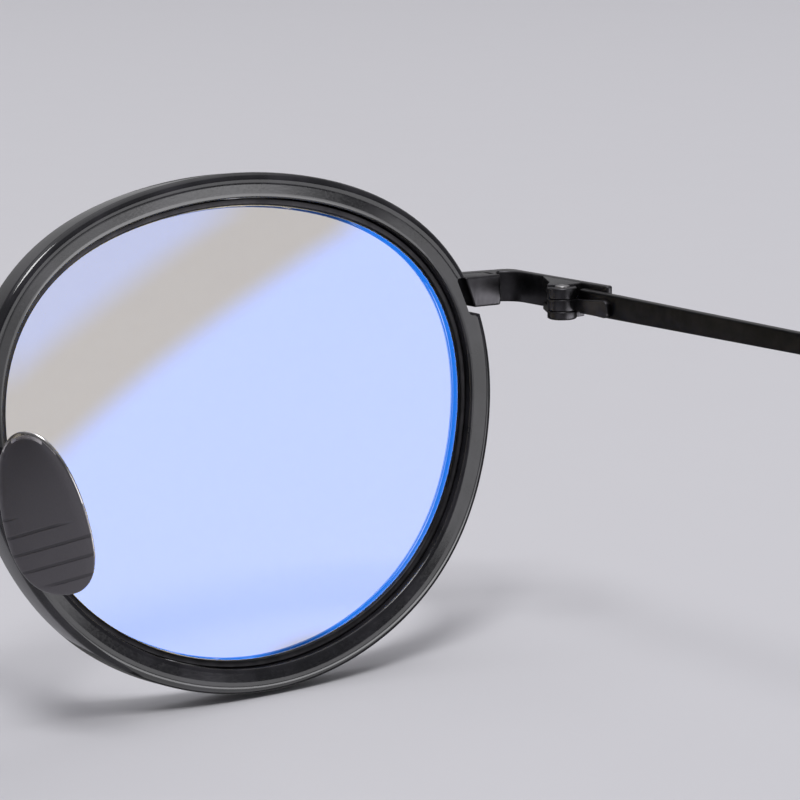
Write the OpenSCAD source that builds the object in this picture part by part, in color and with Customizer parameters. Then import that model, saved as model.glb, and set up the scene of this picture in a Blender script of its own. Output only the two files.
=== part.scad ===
// Full-rim spectacles: a metal eyewire inside a thick acetate ring, screw hinges, metal nose
// pads and slim metal temples with acetate tips. Millimetres. The glasses stand open on the
// bottoms of both rims and on both temple tips. +Y runs back along the temples, +X is the
// wearer's left, +Z is up. Each side is made once, outward from the middle, and mirrored.

/* [Lens shape] */
// Mean radius of the lens opening
lens_mean = 22.4; // [20:0.1:25]
// How much wider than tall the opening is
lens_oval = 1.44; // [0:0.02:2.5]
// Fullness of the two upper corners against a narrower chin
lens_panto = 0.65; // [0:0.05:1]
// Pull of the outer corner toward the nose
lens_tuck = -0.07; // [-0.2:0.01:0.2]
// Squareness of the outline
lens_square = -0.2; // [-0.4:0.05:0]
// Lift of the crown between the corners
lens_crown = 0.09; // [0:0.01:0.2]
// Flatness of the sides
lens_flat = -0.1; // [-0.2:0.01:0]
// Radius of the spherical curve that the lens and rims follow
base_r = 120; // [90:5:200]
// Thickness of the lens
lens_t = 1.6; // [1.2:0.1:2.2]

/* [Front] */
// Half the distance between the two lens centres
lens_x = 34.5; // [32:0.5:37]
// Backward wrap of each rim
wrap = 4; // [0:0.5:8]
// Forward tilt of the rims' tops
panto = 7; // [0:0.5:12]
// Radial thickness of the metal eyewire
wire_w = 0.62; // [0.5:0.02:0.9]
// Depth of the metal eyewire
wire_d = 2.2; // [1.8:0.1:2.6]
// Distance from the lens opening to the outside of the acetate ring
ring_w = 2.98; // [2.4:0.02:4]
// Depth of the acetate ring
ring_d = 4; // [3:0.1:5]
// Radius of the acetate ring's outer edges
ring_round = 0.78; // [0.4:0.02:1]

/* [End piece] */
// Height of the end piece
end_h = 3; // [2.4:0.1:3.6]
// Thickness of the lateral arm
arm_t = 1.25; // [0.9:0.05:1.6]
// Thickness of the outer wall beside the hinge
wall_t = 0.75; // [0.6:0.05:1]
// Radius of the hinge barrel
barrel_r = 1.4; // [1.2:0.05:1.7]
// Radius of the hinge screw's shank
pin_r = 0.6; // [0.5:0.05:0.7]

/* [Temple] */
// Temple length from the hinge screw to the end of the tip, along the bar
temple_len = 145; // [135:1:150]
// Height of the bar at the hinge
bar_h = 2.36; // [2:0.02:3]
// Height of the bar where it enters the tip
bar_h_end = 1.45; // [1.2:0.05:2]
// Thickness of the bar
bar_t = 0.9; // [0.7:0.05:1.1]
// Inward lean of the temple
splay = 2; // [0:0.5:4]
// Slope of the tip behind the ear
tip_slope = 50; // [35:1:60]

/* [Nose pad] */
// Height of the pad
pad_h = 15; // [12:0.5:17]
// Width of the pad
pad_w = 8.4; // [7:0.2:9]
// Thickness of the pad
pad_t = 0.9; // [0.7:0.1:1.4]

/* [Hidden] */

// Facets: steps round a rim, and $fn of true circles
ring_steps = 72;
fine = 48;
gap = 0.05;

// Place of the lens centre on the rear plane of the ring
lens_z = 24.56;
rim_y = -66.94;

// Depths are measured forward from the ring's rear plane
wire_z0 = 0.75;
wire_z1 = wire_z0 + wire_d;
lens_z0 = wire_z0 + (wire_d - lens_t) / 2;
lens_z1 = lens_z0 + lens_t;
groove_z = (lens_z0 + lens_z1) / 2;
bevel = 0.4;
seat = wire_w + gap;

// Heights on the front, from the lens centre
end_z1 = 11.4;
end_z0 = end_z1 - end_h;
knuckle_z = [8.1, 8.93, 10.07, 11.05];
temple_z = 9.8;

// Plan of the end piece, from the lens centre: x outward, y back
hinge_x = 29.26;
hinge_y = 9.45;
wall_x = 32.05;
wall_end = 13.6;
arm_x0 = 23.4;
arm_y0 = -4.05;
arm_rise = tan(15.3);
arm_cut = [23.75, 24.95];
lock_cut = [24.9, 25.9];
lock_x1 = 28.85;
lock_y1 = 0.82;
lock_rise = tan(8);
lock_split = end_z0 + 0.75;
lock_pin = [27.5, -0.6];
notch_cut = [23.3, 24.55];
notch_z = [7.9, 11.6];

// Temple bar, from the hinge axis: out, back and up
bar_in = 0.99;
bar_start = 1.25;
bar_taper = 56;
leaf_len = 6;
leaf_t = 0.55;
leaf_z = [8.75, 10.45];
tip_start = 84;
tip_bend_r = 22;
tip_half = [1.5, 3.1];
tip_cap = 4;
tip_low = norm([tip_cap * sin(tip_slope), tip_half[1] * cos(tip_slope)])
    - tip_cap * sin(tip_slope);
drop = lens_z + temple_z - tip_low;
bend_drop = tip_bend_r * (1 - cos(tip_slope));
bend_arc = tip_bend_r * tip_slope * PI / 180;
bend_start = temple_len - bend_arc - (drop - bend_drop) / sin(tip_slope);

// Bridge arch, in the plane of the front
arch_r = 13.5;
arch_half = 55;
arch_h = 2;
arch_t = 1.6;
arch_z = -0.2;
arch_y = -4;

// Nose pad: its centre from the lens centre, and its turn
pad_at = [-25, 6.2, -3];
pad_splay = 30;
pad_lean = 12;
pivot_back = 1.45;
box_size = [1.3, 2.6, 2.2];
lug_size = [1.2, 1.1, 1.1];

// Outline of the lens opening
function lens_r(a) =
    lens_mean + lens_oval * cos(2 * a) + lens_tuck * cos(3 * a) + lens_panto * sin(3 * a)
    + lens_square * cos(4 * a) + lens_crown * sin(5 * a) + lens_flat * cos(6 * a);
function lens_pt(a) = lens_r(a) * [cos(a), sin(a)];
function lens_n(a) =
    let (t = lens_pt(a + 1) - lens_pt(a - 1)) [t.y, -t.x] / norm(t);

// Drop of the base curve at a point of the front, and a point off the outline
function sag(p) = (p.x * p.x + p.y * p.y - lens_mean * lens_mean) / (2 * base_r);
function on_curve(p, z) = [p.x, p.y, z - sag(p)];
function ring_pt(a, off, z) = on_curve(lens_pt(a) + off * lens_n(a), z);

// Corner points of a path, each rounded by its own radius: [x, y, radius]
function corner(a, p, b, r, n = 8) =
    let (
        u = (a - p) / norm(a - p),
        v = (b - p) / norm(b - p),
        half = acos(u * v) / 2,
        reach = r / tan(half),
        c = p + (u + v) / norm(u + v) * r / sin(half),
        s = p + u * reach - c,
        turn = cross(u, v) > 0 ? -1 : 1
    )
    [for (i = [0:n]) c + turned(s, turn * i / n * (180 - 2 * half))];
function turned(p, a) = [p.x * cos(a) - p.y * sin(a), p.x * sin(a) + p.y * cos(a)];
function flat2(p) = [p.x, p.y];
function rounded(path) =
    let (n = len(path))
    [for (i = [0:n - 1])
        each path[i].z == 0
            ? [flat2(path[i])]
            : corner(flat2(path[(i + n - 1) % n]), flat2(path[i]), flat2(path[(i + 1) % n]),
                     path[i].z)];

// Skin over a list of rings of points: open ends are capped, or the rings close on themselves
module skin(rings, loop = false) {
    n = len(rings);
    m = len(rings[0]);
    last = loop ? n - 1 : n - 2;
    sides = [for (i = [0:last]) for (j = [0:m - 1])
        let (a = i * m, b = ((i + 1) % n) * m, k = (j + 1) % m)
        each [[a + j, b + k, a + k], [a + j, b + j, b + k]]];
    caps = loop ? [] : [[for (j = [0:m - 1]) j], [for (j = [m - 1:-1:0]) (n - 1) * m + j]];
    polyhedron(points = [for (r = rings) each r], faces = concat(sides, caps), convexity = 6);
}

// A side of the object, and the frames that its pieces are made in
module side(right) {
    mirror([right ? 1 : 0, 0, 0]) children();
}
module from_lens() {
    translate([lens_x, rim_y, lens_z]) children();
}
module rim_frame() {
    from_lens() rotate([0, 0, wrap]) rotate([90 + panto, 0, 0]) children();
}
module temple_frame() {
    from_lens() translate([hinge_x, hinge_y, 0]) rotate([0, 0, splay]) children();
}
module pad_frame() {
    from_lens()
        translate(pad_at) rotate([0, -pad_lean, 0]) rotate([0, 0, 180 - pad_splay]) children();
}

// Lens: a curved blank with a V edge that sits in the eyewire's groove
module lens(right) {
    edge = [
        [-gap, lens_z0], [-gap, groove_z - bevel], [bevel - 2 * gap, groove_z],
        [-gap, groove_z + bevel], [-gap, lens_z1]
    ];
    inner = [0.1, 0.4, 0.7];
    function cap(f, z) = [for (i = [0:ring_steps - 1])
        on_curve(f * lens_pt(360 * i / ring_steps), z)];
    color("lightsteelblue", 0.4) side(right) rim_frame()
        skin(concat(
            [for (f = inner) cap(f, lens_z0)],
            [for (e = edge) [for (i = [0:ring_steps - 1]) ring_pt(360 * i / ring_steps, e.x, e.y)]],
            [for (i = [2:-1:0]) cap(inner[i], lens_z1)]
        ));
}

// A closed ring with the given cross-section of [offset from the opening, depth]
module ring(section) {
    skin([for (i = [0:ring_steps - 1]) [for (p = section)
        ring_pt(360 * i / ring_steps, p.x, p.y)]], loop = true);
}

// Grooved metal wire round the lens, split at the closing block
module eyewire(right) {
    c = 0.12;
    slit = 0.2;
    color("#2c2b2c") side(right) difference() {
        rim_frame() ring([
            [0, wire_z0 + c], [0, groove_z - bevel - gap], [bevel - gap, groove_z],
            [0, groove_z + bevel + gap], [0, wire_z1 - c], [c, wire_z1],
            [wire_w - c, wire_z1], [wire_w, wire_z1 - c], [wire_w, wire_z0 + c],
            [wire_w - c, wire_z0], [c, wire_z0]
        ]);
        from_lens() translate([20, -6, lock_split - slit / 2]) cube([5, 12, slit]);
    }
}

// Thick acetate ring, open at the closing block and at the bridge
module acetate_rim(right) {
    w = ring_w;
    r = ring_round;
    k = r * (1 - cos(45));
    color("#35343a") side(right) difference() {
        rim_frame() ring([
            [seat, 0.45], [seat + 0.3, 0.05], [w - r, 0], [w - k, k], [w, r], [w, ring_d - r],
            [w - k, ring_d - k], [w - r, ring_d], [seat + 0.2, ring_d], [seat, ring_d - 0.2]
        ]);
        from_lens() translate([0, 6, 0]) rotate([90, 0, 0])
            linear_extrude(14) polygon([
                [notch_cut[0], notch_z[1]], [notch_cut[1], notch_z[0]],
                [33, notch_z[0]], [33, notch_z[1]]
            ]);
        tang(0.1);
        bridge_bar(0.15);
    }
}

// Everything outboard of a slanted line through the end piece, seen from behind
module outboard(cut) {
    from_lens() translate([0, 20, 0]) rotate([90, 0, 0])
        linear_extrude(30) polygon([
            [cut[0], end_z1], [cut[1], end_z0], [36, end_z0], [36, end_z1]
        ]);
}

// Block in the notch that closes the eyewire, cut across into an upper and a lower part
module lock_body() {
    rear = arm_y0 + arm_t / cos(15.3);
    intersection() {
        from_lens() translate([0, 0, end_z0])
            linear_extrude(end_h) polygon([
                [arm_x0, rear], [lock_x1, rear + (lock_x1 - arm_x0) * arm_rise],
                [lock_x1, lock_y1], [arm_x0, lock_y1 - (lock_x1 - arm_x0) * lock_rise]
            ]);
        outboard(lock_cut);
    }
}
module tang(grow = 0) {
    from_lens() translate([21.8, -0.85 - grow, lock_split - 0.7 - grow])
        cube([4.4, 1.1 + 2 * grow, 1.4 + 2 * grow]);
}
module in_rim(off) {
    rim_frame() ring([[-3, -3], [-3, 8], [off, 8], [off, -3]]);
}
module lock_pin_hole(r, z0, z1) {
    from_lens() translate([lock_pin.x, lock_pin.y, z0]) cylinder(r = r, h = z1 - z0, $fn = fine);
}
module lock_part(z0, z1) {
    intersection() {
        union() {
            lock_body();
            difference() {
                tang();
                in_rim(wire_w);
            }
        }
        from_lens() translate([18, -8, z0]) cube([16, 16, z1 - z0]);
    }
}
module lock_upper(right) {
    color("#2c2b2c") side(right) difference() {
        lock_part(lock_split + 0.02, end_z1);
        lock_pin_hole(0.52, lock_split - 1, end_z1 - 0.6);
    }
}
module lock_lower(right) {
    color("#2c2b2c") side(right) difference() {
        lock_part(end_z0, lock_split - 0.02);
        lock_pin_hole(0.56, end_z0 - 1, lock_split + 1);
        lock_pin_hole(0.84, end_z0 - 1, end_z0 + 0.3);
    }
}

// A screw standing on its point: head below or above, with a slot across the head
module screw(r, head_r, head_h, len) {
    difference() {
        union() {
            cylinder(r = r, h = len, $fn = fine);
            translate([0, 0, len - head_h]) cylinder(r = head_r, h = head_h, $fn = fine);
        }
        translate([-head_r - 1, -0.12, len - 0.25]) cube([2 * head_r + 2, 0.24, 1]);
    }
}
module rim_screws() {
    color("#3a3a3c") for (right = [true, false]) side(right) from_lens()
        translate([lock_pin.x, lock_pin.y, end_z1 - 0.7]) rotate([180, 0, 0])
            screw(0.5, 0.8, 0.28, end_h - 0.72);
}

// Arched bar between the rims, and the same bar grown all round
module bridge_bar(grow = 0) {
    o = arch_r + arch_h / 2 + grow;
    i = arch_r - arch_h / 2 - grow;
    steps = 24;
    function at(k) = 90 - arch_half + 2 * arch_half * k / steps;
    translate([0, rim_y + arch_y + arch_t / 2 + grow, lens_z + arch_z]) rotate([90, 0, 0])
        linear_extrude(arch_t + 2 * grow) polygon(concat(
            [for (k = [0:steps]) o * [cos(at(k)), sin(at(k))]],
            [for (k = [steps:-1:0]) i * [cos(at(k)), sin(at(k))]]
        ));
}
module bridge() {
    color("#2c2b2c") difference() {
        bridge_bar();
        in_rim(wire_w);
        mirror([1, 0, 0]) in_rim(wire_w);
    }
}

// End piece: arm out from the rim, bend, outer wall, and the two outer knuckles
module end_plan() {
    rise = (wall_x - arm_x0) * arm_rise;
    back = arm_t / cos(15.3);
    polygon(rounded([
        [arm_x0, arm_y0, 0], [wall_x, arm_y0 + rise, 1.4], [wall_x, wall_end, 0.36],
        [wall_x - wall_t, wall_end, 0.36],
        [wall_x - wall_t, arm_y0 + back + rise - wall_t * arm_rise, 2],
        [arm_x0, arm_y0 + back, 0]
    ]));
}
module web_plan() {
    polygon(rounded([
        [hinge_x - 1.05, hinge_y - 0.92, 0], [hinge_x + 0.2, hinge_y - 2.1, 1.2],
        [wall_x - wall_t - 0.05, hinge_y - 4.2, 0], [wall_x - wall_t / 2, hinge_y - 4.2, 0],
        [wall_x - wall_t / 2, hinge_y + 0.4, 0], [hinge_x, hinge_y + 0.4, 0]
    ]));
}
module knuckle(z0, z1) {
    translate([0, 0, z0]) linear_extrude(z1 - z0) web_plan();
    translate([hinge_x, hinge_y, z0]) cylinder(r = barrel_r, h = z1 - z0, $fn = fine);
}
module end_piece(right) {
    color("#2c2b2c") side(right) difference() {
        union() {
            intersection() {
                from_lens() translate([0, 0, end_z0]) linear_extrude(end_h) end_plan();
                outboard(arm_cut);
            }
            from_lens() {
                knuckle(knuckle_z[0], knuckle_z[1] - gap / 2);
                knuckle(knuckle_z[2] + gap / 2, knuckle_z[3]);
            }
        }
        from_lens() {
            translate([hinge_x, hinge_y, 0]) cylinder(r = pin_r + 0.02, h = 20, $fn = fine);
            translate([hinge_x, hinge_y, knuckle_z[3] - 0.25])
                cylinder(r = 0.8, h = 2, $fn = fine);
        }
    }
}
module hinge_screws() {
    color("#3a3a3c") for (right = [true, false]) side(right) from_lens()
        translate([hinge_x, hinge_y, knuckle_z[0] + 0.1])
            screw(pin_r, 0.75, 0.5, knuckle_z[3] - knuckle_z[0] + 0.15);
}

// Middle knuckle, and its leaf on the inner face of the temple bar
module hinge_leaf(right) {
    z0 = knuckle_z[1] + gap / 2;
    z1 = knuckle_z[2] - gap / 2;
    color("#2c2b2c") side(right) temple_frame() difference() {
        union() {
            translate([0, 0, z0]) cylinder(r = barrel_r, h = z1 - z0, $fn = fine);
            translate([bar_in - leaf_t, 0, 0]) rotate([90, 0, 90])
                linear_extrude(leaf_t) polygon(rounded([
                    [0, z0, 0], [leaf_len, leaf_z[0], 0.5], [leaf_len, leaf_z[1], 0.5],
                    [1.6, z1, 0], [0, z1, 0]
                ]));
        }
        cylinder(r = pin_r + gap, h = 20, $fn = fine);
    }
}

// Middle line of the bar at a distance along it: [back, up, slope]
function bar_at(s) =
    s < bend_start
        ? [s, 0, 0]
        : s < bend_start + bend_arc
            ? let (a = (s - bend_start) / tip_bend_r * 180 / PI)
                [bend_start + tip_bend_r * sin(a), tip_bend_r * (cos(a) - 1), a]
            : let (e = s - bend_start - bend_arc)
                [bend_start + tip_bend_r * sin(tip_slope) + e * cos(tip_slope),
                 -bend_drop - e * sin(tip_slope), tip_slope];

// One cross-section of the bar or tip: a list of [out, up] placed at a distance along it
function section_at(s, pts) =
    let (c = bar_at(s))
    [for (p = pts) [bar_in + bar_t / 2 + p.x, c.x + p.y * sin(c.z), temple_z + c.y + p.y * cos(c.z)]];
function bar_height(s) = bar_h + (bar_h_end - bar_h) * min(1, s / bar_taper);
function bar_section(s, grow = 0) =
    let (x = bar_t / 2 + grow, y = bar_height(s) / 2 + grow, c = 0.18)
    [[x, y - c], [x - c, y], [c - x, y], [-x, y - c], [-x, c - y], [c - x, -y], [x - c, -y],
     [x, c - y]];

// Slim metal bar, whose core runs on inside the tip
module temple(right) {
    stations = concat(
        [bar_start, 20, 40, bar_taper],
        [for (i = [0:12]) tip_start + (temple_len - 8 - tip_start) * i / 12]
    );
    color("#2c2b2c") side(right) temple_frame()
        skin([for (s = stations) section_at(s, bar_section(s))]);
}

// Acetate tip: a flattened sleeve that widens toward its rounded end
function tip_grow(s) =
    let (
        t = (s - tip_start) / (temple_len - tip_start),
        e = max(0, (s - temple_len + tip_cap) / tip_cap),
        k = sqrt(1 - e * e * 0.97)
    )
    k * [1 + (tip_half[0] - 1) * sqrt(t), 1.3 + (tip_half[1] - 1.3) * t];
function bore_section(s) =
    let (p = bar_section(s, 0.01))
    [for (i = [4:11]) each [(p[(i + 7) % 8] + p[i % 8]) / 2, p[i % 8]]];
module temple_tip(right) {
    sides = 16;
    span = temple_len - tip_cap - tip_start;
    bore = [for (i = [12:-1:0]) tip_start + (temple_len - 8 - tip_start) * i / 12];
    body = [for (i = [0:14]) tip_start + span * i / 14];
    cap = [temple_len - 2.4, temple_len - 1.2, temple_len - 0.4, temple_len];
    color("#29282c") side(right) temple_frame()
        skin(concat(
            [for (s = bore) section_at(s, bore_section(s))],
            [for (s = concat(body, cap))
                let (g = tip_grow(s))
                section_at(s, [for (i = [0:sides - 1])
                    let (a = -360 * i / sides) [-g.x * cos(a), g.y * sin(a)]])]
        ));
}

// Wire that carries a nose pad, bent back and down from the eyewire
function bezier(p, t) =
    pow(1 - t, 3) * p[0] + 3 * t * pow(1 - t, 2) * p[1] + 3 * t * t * (1 - t) * p[2]
    + pow(t, 3) * p[3];
module pad_arm(right) {
    r = 0.45;
    sides = 8;
    steps = 18;
    box_at = pad_at + pad_turn([-pivot_back - box_size.x / 2 - 0.1, 0, 0]);
    box_in = pad_turn([-1, 0, 0]);
    way = [[-23.85, -3.4, -0.4], [-23.2, 3.4, 3.4], box_at + 3.4 * box_in, box_at];
    function tangent(t) =
        let (d = bezier(way, min(1, t + 0.01)) - bezier(way, max(0, t - 0.01))) d / norm(d);
    color("#2c2b2c") side(right) difference() {
        from_lens()
            skin([for (k = [0:steps])
                let (t = k / steps, c = bezier(way, t), d = tangent(t),
                     u0 = cross(d, [0, 0, 1]), u = u0 / norm(u0), v = cross(d, u))
                [for (i = [0:sides - 1])
                    let (a = 360 * i / sides) c + r * (cos(a) * u + sin(a) * v)]]);
        rim_frame() ring([[-3, wire_z0], [-3, 8], [wire_w + 1, 8], [wire_w + 1, wire_z0]]);
        pad_frame() translate([-pivot_back, 0, 0]) box_block();
    }
}

// The pad's frame has x toward the nose, out of the contact face, and z up its length
function pad_turn(p) =
    let (a = 180 - pad_splay, q = [p.x * cos(a) - p.y * sin(a), p.x * sin(a) + p.y * cos(a), p.z])
    [q.x * cos(pad_lean) - q.z * sin(pad_lean), q.y, q.x * sin(pad_lean) + q.z * cos(pad_lean)];
module box_block() {
    s = box_size;
    translate([-s.x / 2 - 0.4, -s.z / 2, -s.y / 2]) cube([s.x + 0.4, s.z, s.y]);
}
module pad_box(right) {
    s = box_size;
    color("#2c2b2c") side(right) pad_frame() translate([-pivot_back, 0, 0]) difference() {
        box_block();
        translate([-s.x / 2, -s.z / 2 + 0.45, -s.y / 2 + 0.3])
            cube([s.x + 1, s.z - 0.9, s.y - 0.6]);
        rotate([90, 0, 0]) cylinder(r = 0.37, h = 4, center = true, $fn = fine);
    }
}
module pad_screws() {
    color("#3a3a3c") for (right = [true, false]) side(right) pad_frame()
        translate([-pivot_back, -box_size.z / 2, 0]) rotate([-90, 0, 0])
            screw(0.35, 0.6, 0.3, box_size.z + 0.3);
}

// Metal pad: an egg-shaped plate with a drilled lug on its back
module nose_pad(right) {
    steps = 40;
    color("#4a484c") side(right) pad_frame() {
        translate([-pad_t / 2, 0, 0]) rotate([0, 90, 0]) linear_extrude(pad_t)
            polygon([for (i = [0:steps - 1])
                let (a = 360 * i / steps, w = pad_w / 2 * (1 - 0.16 * sin(a)))
                [-pad_h / 2 * sin(a), w * cos(a)]]);
        translate([-pivot_back, 0, 0]) difference() {
            union() {
                rotate([90, 0, 0])
                    cylinder(r = lug_size.x / 2, h = lug_size.z, center = true, $fn = fine);
                translate([0, -lug_size.z / 2, -lug_size.y / 2])
                    cube([pivot_back - pad_t / 2 + 0.1, lug_size.z, lug_size.y]);
            }
            rotate([90, 0, 0]) cylinder(r = 0.4, h = 4, center = true, $fn = fine);
        }
    }
}

lens(true);  // lens_right
lens(false);  // lens_left
eyewire(true);  // eyewire_right
eyewire(false);  // eyewire_left
acetate_rim(true);  // acetate_rim_right
acetate_rim(false);  // acetate_rim_left
lock_upper(true);  // lock_upper_right
lock_upper(false);  // lock_upper_left
lock_lower(true);  // lock_lower_right
lock_lower(false);  // lock_lower_left
rim_screws();
bridge();
end_piece(true);  // end_piece_right
end_piece(false);  // end_piece_left
hinge_screws();
hinge_leaf(true);  // hinge_leaf_right
hinge_leaf(false);  // hinge_leaf_left
temple(true);  // temple_right
temple(false);  // temple_left
temple_tip(true);  // temple_tip_right
temple_tip(false);  // temple_tip_left
pad_arm(true);  // pad_arm_right
pad_arm(false);  // pad_arm_left
pad_box(true);  // pad_box_right
pad_box(false);  // pad_box_left
pad_screws();
nose_pad(true);  // nose_pad_right
nose_pad(false);  // nose_pad_left
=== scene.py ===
# Blue light glasses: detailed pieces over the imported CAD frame, with materials, light and camera.
# Pieces are made in millimetres from the middle of one lens, outward, back and up, as the CAD is.
import bpy
import bmesh
import math
from mathutils import Matrix, Vector


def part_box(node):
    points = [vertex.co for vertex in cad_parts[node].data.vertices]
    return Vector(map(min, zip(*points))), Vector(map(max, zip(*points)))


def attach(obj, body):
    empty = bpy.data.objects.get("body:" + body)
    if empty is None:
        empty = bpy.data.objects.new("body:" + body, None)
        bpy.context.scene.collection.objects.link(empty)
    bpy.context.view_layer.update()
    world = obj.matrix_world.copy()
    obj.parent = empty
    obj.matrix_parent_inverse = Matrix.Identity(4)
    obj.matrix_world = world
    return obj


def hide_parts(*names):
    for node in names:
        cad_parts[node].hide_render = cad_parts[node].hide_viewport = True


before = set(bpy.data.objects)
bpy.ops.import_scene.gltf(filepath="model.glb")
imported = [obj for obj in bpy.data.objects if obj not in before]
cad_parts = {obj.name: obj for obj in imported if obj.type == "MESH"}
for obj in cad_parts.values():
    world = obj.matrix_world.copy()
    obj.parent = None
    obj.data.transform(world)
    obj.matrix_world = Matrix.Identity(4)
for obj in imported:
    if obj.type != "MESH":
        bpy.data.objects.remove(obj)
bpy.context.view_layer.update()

# ---------------------------------------------------------------- sizes, as in the CAD
# The lens opening: its mean radius and the waves that shape it, then the curve of the lens
MEAN, OVAL, TUCK, PANTO, SQUARE, CROWN, FLAT = 22.4, 1.44, -0.07, 0.65, -0.2, 0.09, -0.1
BASE_R = 120.0
WRAP, TILT = math.radians(4), math.radians(7)
# Eyewire and ring: how wide and deep, and the depths where they and the lens lie
LENS_T, WIRE_W, WIRE_D, RING_W, RING_D = 1.6, 0.62, 2.2, 2.98, 4.0
WIRE_Z0 = 0.75
WIRE_Z1 = WIRE_Z0 + WIRE_D
LENS_Z0 = WIRE_Z0 + (WIRE_D - LENS_T) / 2
LENS_Z1 = LENS_Z0 + LENS_T
GROOVE, BEVEL, GAP = (LENS_Z0 + LENS_Z1) / 2, 0.4, 0.05
# End pieces and hinges; KNUCKLE holds the heights where the knuckles start and end
END_Z0, END_Z1 = 8.4, 11.4
KNUCKLE = (8.1, 8.93, 10.07, 11.05)
HINGE = (29.26, 9.45)
WALL_X, WALL_T, WALL_END = 32.05, 0.8, 13.6
ARM = (23.4, -4.05, 1.25)
RISE, ARM_COS = math.tan(math.radians(15.3)), math.cos(math.radians(15.3))
LOCK_X1, LOCK_Y1, LOCK_RISE = 28.85, 0.82, math.tan(math.radians(8))
BARREL_R, PIN_R = 1.4, 0.6
LEAF_LEN, LEAF_T, LEAF_Z = 6, 0.55, (8.75, 10.45)
# Temples: the metal bar, its bend, and the tip over its end
TEMPLE_Z, BAR_IN, BAR_T, BAR_START, BAR_TAPER = 9.8, 0.99, 0.9, 1.25, 56
BAR_H, BAR_H_END, SPLAY, TEMPLE_LEN = 2.36, 1.45, math.radians(2), 145
TIP_START, BEND_R, SLOPE, TIP_HALF, TIP_CAP = 84, 22, math.radians(50), (1.5, 3.1), 4
# Nose pads
PAD_AT, PAD_SPLAY, PAD_LEAN = (-25, 6.2, -3), math.radians(30), math.radians(12)
PAD_H, PAD_W, PAD_T, PIVOT = 15, 8.4, 0.9, 1.45
BOX_T = 1.3

# The middle of a lens in the frame
LENS_X, LENS_Z = 34.5, 24.56
RING_BACK = 7.105
RIM_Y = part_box("acetate_rim_left")[0][1] * 1000 + RING_BACK
# How far the temple's middle line falls to its end, so that the tip rests on the table
drop = TEMPLE_Z + LENS_Z - (math.hypot(TIP_CAP * math.sin(SLOPE), TIP_HALF[1] * math.cos(SLOPE))
                            - TIP_CAP * math.sin(SLOPE))
# The fall and length of the bend, and where along the temple it starts
BEND_DROP, BEND_ARC = BEND_R * (1 - math.cos(SLOPE)), BEND_R * SLOPE
BEND_START = TEMPLE_LEN - BEND_ARC - (drop - BEND_DROP) / math.sin(SLOPE)

# ---------------------------------------------------------------- sizes of the visible detail
# A small step along a curve, which is also the radius that closes the end of a turned shape
TINY = 0.01
RIM_STEPS, PAD_STEPS, TIP_STEPS, CAP_STEPS = 192, 72, 40, 12
STEM_STEPS, WIRE_STEPS, SCREW_STEPS, LUG_STEPS = 40, 20, 40, 32
# Angles in degrees above which an edge is drawn sharp, on plain and on cut pieces
SHARP, SHARP_CUT = 35, 32
# Lens: sizes of the rings of points on its faces, and the rounding of its edge
LENS_RINGS, LENS_EDGE = [0.02, 0.12, 0.24, 0.36, 0.48, 0.6, 0.72, 0.84, 0.93], 0.02
# Eyewire corners; ring: its seat on the wire, front and rear outer rounding, inner roundings,
# depths of the points on its seat, and how far the points on its rear and front faces lie from the
# seat and from the outer roundings
WIRE_EDGE = 0.14
SEAT, RING_EDGE, REAR_EDGE, REAR_FILLET, FRONT_FILLET = WIRE_W + GAP, 0.78, 1.05, 0.13, 0.3
SEAT_MIDDLE, SEAT_REAR, SEAT_FRONT = 1.2, 0.3, 2.6
ON_REAR, ON_FRONT, BEFORE_EDGE = 0.4, 0.6, 0.1
# Notch of the ring, as (out, up, rounding), and how far forward and back its cutter reaches
NOTCH = [(23.3, 11.55, 0.25), (24.55, 7.9, 0.35), (33, 7.9, 0), (33, 11.55, 0)]
NOTCH_REACH = (-8, 6)
# Bridge: an arc of a rounded bar about a point in front of the lens centres and just below them
BRIDGE_R, BRIDGE_HALF, BRIDGE_STEPS, BRIDGE_BACK, BRIDGE_UP = 13.5, 55, 48, -4, -0.2
BRIDGE_BAR, BRIDGE_EDGE = (0.8, 1.0), 0.3
# Closing block: its inner end at the bottom and the top, and its rounding in metres
BLOCK_X0, BLOCK_EDGE = (25.9, 24.9), 0.00024
# Arm: the slant of its inner end, the foot behind the block, the swelling there, and roundings
ARM_END, FOOT_X, FOOT_Y, SWELL_X, SWELL = (24.95, 23.75), 28.0, LOCK_Y1 - 0.62, 29.5, 0.12
ARM_EDGE, CORNER_R, WALL_TIP_R, INNER_R, SWELL_R = 0.16, 1.4, 0.38, 2.3, 1.0
WALL_IN, WALL_MID = WALL_X - WALL_T, WALL_X - WALL_T / 2
# Webs from the wall to the outer knuckles: corners from the hinge, how deep they run into the wall,
# how far they stop short of the arm's top and the lowest knuckle's foot, and roundings
WEB_NEAR, WEB_BEND, WEB_WALL, WEB_FAR, WEB_R = (-1.05, -0.92), (0.2, -2.1), 5.2, 0.4, 1.6
WEB_TUCK, WEB_DROP, WEB_LIFT, WEB_EDGE_UP, WEB_EDGE_LOW = 0.02, 0.04, 0.02, 0.1, 0.08
# Knuckles: half the slit between them, the top, and the rounding of each one's top and bottom rim
SLIT = 0.03
BARREL_TOP = KNUCKLE[3] + 0.1
UPPER_RIMS, MIDDLE_RIMS, LOWER_RIMS = (0.18, 0.09), (0.07, 0.07), (0.09, 0.24)
# Leaf: where it leaves the knuckle, its shoulder and roundings, and how far it sinks into the bar
LEAF_ROOT, LEAF_SHOULDER, SHOULDER_R, LEAF_R, LEAF_EDGE, LEAF_SINK = 0.3, 1.6, 2.0, 0.5, 0.12, 0.05
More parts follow.
